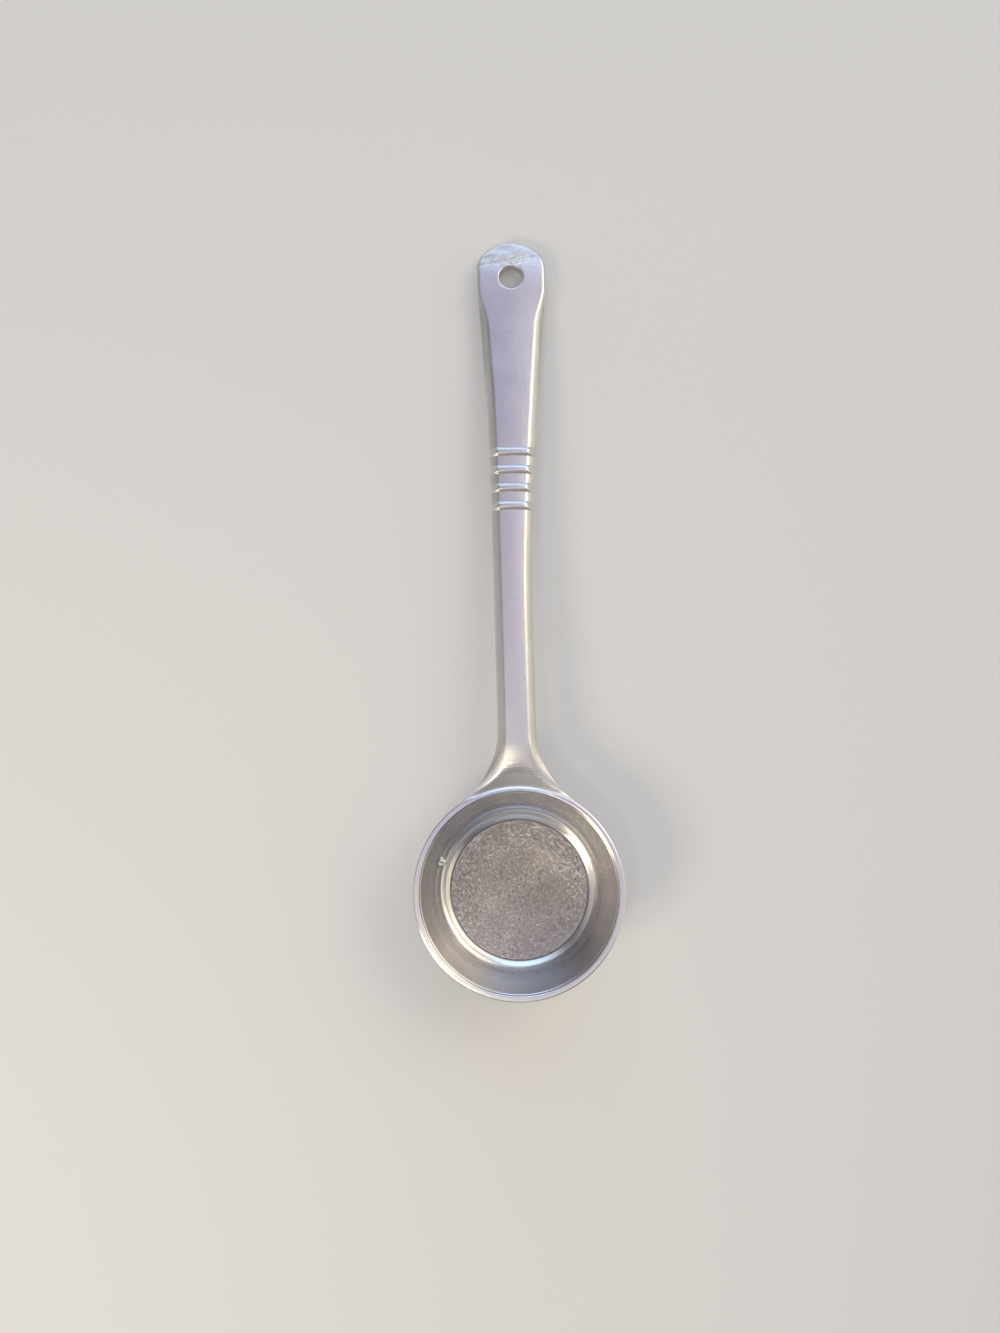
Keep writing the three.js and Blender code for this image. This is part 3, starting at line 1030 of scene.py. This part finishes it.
wall_depth = from_axis + (round_height - spot_z) * math.tan(WALL_DRAFT)
wall_middle = (wall_radius(round_height) + wall_radius(round_height, -1)) / 2
above_base = alloy.step(spot_z, FLOOR_THICKNESS * 0.4, FLOOR_THICKNESS * 0.75)
inside_bowl = alloy.step(wall_depth, wall_middle + BORDER, wall_middle - BORDER) * above_base
ramp_start = float(ramp_height(0))
on_ramp = alloy.step(spot_z - from_axis * RAMP_SLOPE, ramp_start + RAMP_LOW, ramp_start + RAMP_FULL)
turned = alloy.math("MAXIMUM", inside_bowl, on_ramp)
floor_border = FLOOR_RADIUS - MARGIN
cast_floor = alloy.step(from_axis + ragged * FLOOR_RAGGED, floor_border, floor_border - BORDER)
cast_floor = cast_floor * inside_bowl
tip_border = spot_y + ragged * TIP_RAGGED + relief(mottle, TIP_MOTTLED) - spot_x * TIP_TILT
filed_tip = alloy.step(tip_border, hole_y + TIP_START, hole_y + TIP_FULL)
within_rim = alloy.step(from_axis, RIM_RADIUS + LIP_REACH, RIM_RADIUS + LIP_REACH / 2)
rim_width = alloy.step(from_axis, inner_round - BORDER, inner_round) * within_rim
lip = rim_width * alloy.step(spot_z, round_height, round_height + BORDER) * (1 - on_ramp)
edge_start = BOWL_HEIGHT - RIM_RADIUS * HANDLE_RISE
top_face = alloy.step(spot_z - spot_y * HANDLE_RISE, edge_start - BORDER, edge_start + MARGIN)
top_face = top_face * alloy.step(spot_y, RIM_RADIUS - FACE_FADE, RIM_RADIUS)
on_bevel = alloy.step(bevel_tone, *BEVEL_SHARES) * (1 - on_ramp)
# Convex places: smoother as wear, and lighter in colour as wear and as a painted highlight.
rubbed_and_highlit = alloy.step(bend_tone, *RUBBED_AND_HIGHLIT_BENDS)
# Concave places: rougher, and greyer in colour as painted shade.
hollow = alloy.step(bend_tone, *HOLLOW_BENDS) * alloy.math("MAXIMUM", inside_bowl, top_face)
foot_radius = chamfer_foot[0]
# The groove round the floor, which the colour darkens as painted shade.
groove = alloy.step(from_axis, floor_edge[0], foot_radius - GROOVE_BORDER)
groove = groove * alloy.step(from_axis, foot_radius + GROOVE_BORDER, foot_radius) * inside_bowl
print("zones: cast floor, turned bowl and ramp, lip, filed tip, rubbed face with its bevels, cast outside")

# %% [markdown]
# ## Surface of each zone
# Each zone gets a height in millimetres for the bump and a roughness. The floor is wrinkled like the sand
# and paint of the mould, less so on the side away from the handle. Turned metal has fine rings, which are
# noise drawn along the distance from the axis alone. The rubbed face has fine scratches along the handle
# and a few pits, the lip and the bevels keep the grain of the sand, and the tip has slanting strokes of
# the file. Every grain is noise in real millimetres, so it keeps its scale in any view.

# %% Grains of the metal
WRINKLE_TURN = 16
WRINKLE_REACH = 1.35


def noise_place(x, y, z=0):
    """A place in the noise, which draws a grain out along any direction."""
    return alloy.node("ShaderNodeCombineXYZ", {}, {"X": x, "Y": y, "Z": z})


ring_place = noise_place(from_axis, spot_z * 0.5)
round_x, round_y = (side / from_axis * WRINKLE_TURN for side in (spot_x, spot_y))
wrinkle_place = noise_place(round_x, round_y, from_axis * WRINKLE_REACH)
scratch_place = noise_place(spot_x, spot_y * 0.05, spot_z)
stroke_place = noise_place(spot_x * 0.3 + spot_y * 0.14, spot_y * 1.2 - spot_x * 0.5)
crinkles = alloy.grain(spot, 1.6, 3, 0.6)
wrinkles = alloy.grain(wrinkle_place, 1.0, 3, 0.6)
specks = alloy.grain(spot, 2.6, 2, 0.6)
rings = alloy.grain(ring_place, 0.8, 5, 0.75)
bands = alloy.grain(ring_place, 0.33, 3, 0.6)
scratches = alloy.grain(scratch_place, 2.2, 3, 0.65)
strokes = alloy.grain(stroke_place, 0.95, 4, 0.6)
sand = alloy.grain(spot, 1.5, 3, 0.6)
swell = alloy.grain(spot, 0.16, 2)
pits = alloy.step(alloy.grain(spot, 0.5, 1), 0.76, 0.82)
print(len(metal.node_tree.nodes), "nodes so far")

# %% Heights of the zones
NEAR_DEPTH = 0.4
NEAR_END, FAR_START = -18, -2


def over(below, above, mask):
    return below + (above - below) * mask


outer = alloy.step(from_axis, CRINKLED_RADIUS, FLOOR_RADIUS * 0.8)
mould_skin = over(crinkles, wrinkles, outer) - 0.5
far_side = alloy.step(spot_y + relief(mottle, 20), NEAR_END, FAR_START)
skin_depth = NEAR_DEPTH + (1 - NEAR_DEPTH) * far_side
floor_height = (mould_skin * 0.74 + relief(specks, 0.14)) * skin_depth
ring_height = relief(rings, 0.08) + relief(sand, 0.012)
cast_height = relief(sand, 0.07) + relief(specks, 0.05)
rubbed_height = relief(scratches, 0.02) + relief(sand, 0.045) + relief(swell, 0.06) - pits * 0.05
bevelled_height = rubbed_height + cast_height * on_bevel
tip_height = relief(strokes, 0.9) + relief(sand, 0.12)
outside_height = relief(sand, 0.12) + relief(swell, 0.2)
print("bump heights in millimetres for six zones")

# %% [markdown]
# ## One metal from all zones
# The casting is one piece of one metal, so it gets one material. Every zone's value is laid over the one
# below it by its mask, as coats of paint are. The colour goes from bare to dull metal where the skin of
# the mould or a missed spot makes it grey, and back where edges are rubbed. It also holds painted light:
# shade in the floor's crevices, the pits, the hollows and the groove round the floor, and a highlight on the
# floor's crests and on convex edges.

# %% Blend the zones
BARE = (0.83, 0.825, 0.84, 1)
DULL = (0.35, 0.33, 0.325, 1)
# Near-black colour of the shade painted into hollows and the groove round the floor.
CREASE_SHADE = (0.1, 0.1, 0.1, 1)


def zones(outside, face, lathe, lip_value, floor, tip):
    """One value for the whole casting from a value for each zone."""
    handle = over(over(outside, face, top_face), tip, filed_tip * top_face)
    return over(over(over(handle, lathe, turned), lip_value, lip), floor, cast_floor)


height = zones(outside_height, bevelled_height, ring_height, cast_height, floor_height, tip_height)
rough = zones(outside=0.46, face=0.34, lathe=0.22, lip_value=0.34, floor=0.22, tip=0.3)
rough = rough + relief(mottle, 0.2) + relief(rings, 0.12) * turned
rough = rough - rubbed_and_highlit * 0.06 + hollow * 0.12
grey = zones(outside=0.4, face=0.12, lathe=0.06, lip_value=0.12, floor=0.9, tip=0.4)
grey = grey + relief(mottle, 0.3) + relief(sand, 0.22)
# Pits and hollows get painted shade, convex edges wear and a painted highlight, and the bevels the grey of
# the cast skin.
grey = grey + pits * 0.9 * top_face - rubbed_and_highlit * 0.18 + hollow * 0.55 + on_bevel * 0.14
# The file's strokes vary the tip's tone. On the floor the colour follows the crinkles, darker in their
# crevices and lighter on their crests: painted shade and highlight.
grey = grey + (0.45 - strokes) * 0.9 * filed_tip - mould_skin * 2 * skin_depth * cast_floor
grey = grey + (relief(rings, 0.5) + relief(bands, 0.9)) * turned * (1 - cast_floor)
before_crease_shade = alloy.mix(grey, BARE, DULL)
# Hollows and the groove round the floor are darkened further towards near-black: painted shade.
colour = alloy.mix(alloy.math("MAXIMUM", hollow * 0.4, groove * 0.55), before_crease_shade, CREASE_SHADE)
print("height, roughness and colour blended")

# %% Shader of the casting
shader = metal.node_tree.nodes["Principled BSDF"]
shader.inputs["Metallic"].default_value = 1
bump = alloy.node("ShaderNodeBump", {}, {"Strength": 1, "Distance": MM, "Height": height})
for name, tone in {"Base Color": colour, "Roughness": rough, "Normal": bump}.items():
    metal.node_tree.links.new(tone.socket, shader.inputs[name])
mesh.materials.append(metal)
print(len(metal.node_tree.nodes), "nodes in", metal.name)

# %% [markdown]
# ## Studio
# Metal shows what surrounds it, so the studio matters as much as the finish. A pale floor carries the
# spoon, with a faint glow that only the camera and reflections see. The world is a dim dome with soft
# panels in it: a ceiling, bluish ones beyond the handle, dim ones before the bowl and at the left, and
# warm ones at the right.
# They give each slope of the metal something of its own to show, where one even dome would leave it flat.
# Near the horizon the dome is plain, so low views have a plain background. Four softboxes add highlights
# and a soft shadow: a warm key low on the left, a small one above it, a warm one at the right and a bluish
# one beyond the tip.

# %% Floor
scene = bpy.context.scene
scene.view_settings.view_transform = "Standard"
FLOOR_REACH = 6.0
FLOOR_GLOW = 0.08
FLOOR_COLOUR = (0.71, 0.725, 0.74, 1)
FLOOR_ROUGHNESS = 0.9
RAY_KINDS = ("Camera", "Glossy", "Transmission")

floor_mesh = bpy.data.meshes.new("floor")
corners = [(-1, -1), (1, -1), (1, 1), (-1, 1)]
floor_mesh.from_pydata([(x * FLOOR_REACH, y * FLOOR_REACH, 0) for x, y in corners], [], [(0, 1, 2, 3)])
floor = add_object("floor", floor_mesh)
pale, paint = new_finish("pale_floor")
light_path = paint.node("ShaderNodeLightPath").socket.node.outputs
looks, mirrors, passes = (Tone(paint, light_path[f"Is {kind} Ray"]) for kind in RAY_KINDS)
floor_shader = pale.node_tree.nodes["Principled BSDF"]
floor_shader.inputs["Base Color"].default_value = FLOOR_COLOUR
floor_shader.inputs["Roughness"].default_value = FLOOR_ROUGHNESS
floor_shader.inputs["Emission Strength"].default_value = FLOOR_GLOW
glow = paint.mix(looks + mirrors + passes, (0, 0, 0, 1), (1, 1, 1, 1))
pale.node_tree.links.new(glow.socket, floor_shader.inputs["Emission Color"])
floor_mesh.materials.append(pale)
print("floor", 2 * FLOOR_REACH, "m wide")

# %% Dome
world = bpy.data.worlds.new("studio")
world.use_nodes = True
scene.world = world
dome = Finish(world.node_tree)
direction = dome.node("ShaderNodeTexCoord", {}, {}, "Generated")


def panel(toward, start, full):
    """A soft patch of the dome round one direction: 0 outside it, 1 in its middle, borders in degrees."""
    unit = Vector(toward).normalized()
    facing = dome.node("ShaderNodeVectorMath", {"operation": "DOT_PRODUCT"}, {0: direction, 1: unit}, "Value")
    return dome.step(facing, math.cos(math.radians(start)), math.cos(math.radians(full)))


PLAIN_SKY = (1, 0.96, 0.965, 1)
BLUE_SKY = (0.58, 0.79, 1, 1)
LILAC_SKY = (0.74, 0.66, 1, 1)
WARM_SKY = (1, 0.91, 0.7, 1)
HORIZON_SKY = (1, 0.985, 0.97, 1)
HORIZON = 0.5
HORIZON_START, HORIZON_FULL = math.radians(20), math.radians(12)
ceiling = panel((0, 0.06, 1), 38, 10)
beyond = panel((0, 0.94, 0.34), 36, 14)
nearer = panel((0, -0.8, 0.6), 24, 8)
farther = panel((0, 0.74, 0.67), 16, 5)
left_panel = panel((-0.95, 0, 0.25), 40, 15)
right_panel = panel((0.9, 0, 0.35), 38, 15)
corner_panel = panel((0.55, 0.5, 0.62), 26, 8)
brightness = 0.14 + ceiling * 0.56 + beyond * 1.25 + nearer * 0.24 + left_panel * 0.3 + right_panel * 0.85
brightness = brightness + corner_panel * 1.5 + farther * 0.2
sky = dome.mix(dome.math("MAXIMUM", beyond, farther), PLAIN_SKY, BLUE_SKY)
sky = dome.mix(panel((0, 0.45, 0.89), 30, 6), sky, LILAC_SKY)
sky = dome.mix(right_panel + corner_panel, sky, WARM_SKY)
above = dome.node("ShaderNodeSeparateXYZ", {}, {"Vector": direction}, "Z")
horizon = dome.step(above, math.sin(HORIZON_START), math.sin(HORIZON_FULL))
brightness = brightness + (HORIZON - brightness) * horizon
sky = dome.mix(horizon, sky, HORIZON_SKY)
background = world.node_tree.nodes["Background"]
world.node_tree.links.new(sky.socket, background.inputs["Color"])
world.node_tree.links.new(brightness.socket, background.inputs["Strength"])
print(len(world.node_tree.nodes), "nodes in the dome")


# %% Softboxes
def softbox(name, place, target, width, height, power, colour):
    lamp = bpy.data.lights.new(name, "AREA")
    lamp.shape = "RECTANGLE"
    lamp.size, lamp.size_y = width, height
    lamp.energy = power
    lamp.color = colour
    box = add_object(name, lamp)
    box.location = place
    box.rotation_euler = (Vector(target) - Vector(place)).to_track_quat("-Z", "Y").to_euler()


KEY_COLOUR = (1, 0.86, 0.62)
SIDE_COLOUR = (1, 0.88, 0.66)
FAR_COLOUR = (0.42, 0.66, 1)
softbox("key_softbox", (-0.55, -0.45, 0.6), (0, 0, 0), 0.3, 0.3, 2.4, KEY_COLOUR)
softbox("side_softbox", (0.42, 0.3, 0.6), (0, -0.1, 0), 0.4, 0.4, 0.6, SIDE_COLOUR)
softbox("far_softbox", (0, 0.8, 0.25), (0, -0.1, 0), 0.5, 0.2, 0.5, FAR_COLOUR)
softbox("small_softbox", (-0.2, -0.25, 0.8), (0, 0, 0), 0.12, 0.12, 0.45, KEY_COLOUR)

# %% [markdown]
# ## Camera
# The viewer looks straight down from about 0.4 m, a little off the middle of the spoon. A view is measured
# in pixels, so the lens is given in pixels of an image 1333 pixels high. Blender wants it in millimetres on
# a sensor, whose width stands for the longer side of the image.

# %% Camera
CAMERA_HEIGHT = 384.0
CAMERA_X = -5.89
CAMERA_Y = -21.3
CAMERA_TURN = math.radians(-0.687)
LENS_PIXELS = 1003
IMAGE_HEIGHT = 1333
eye = bpy.data.cameras.new("camera")
eye.sensor_width = 36
eye.lens = LENS_PIXELS * eye.sensor_width / IMAGE_HEIGHT
camera = add_object("camera", eye)
camera.location = Vector((CAMERA_X, CAMERA_Y, CAMERA_HEIGHT)) * MM
camera.rotation_euler = Euler((0, 0, CAMERA_TURN))
scene.camera = camera
print(f"camera {CAMERA_HEIGHT:.0f} mm above the table, lens {eye.lens:.2f} mm")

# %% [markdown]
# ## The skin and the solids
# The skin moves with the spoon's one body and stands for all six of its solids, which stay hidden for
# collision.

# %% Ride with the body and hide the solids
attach(casting, "root")
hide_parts("bowl", "neck", "shank", "rib_band", "grip", "hanging_end")
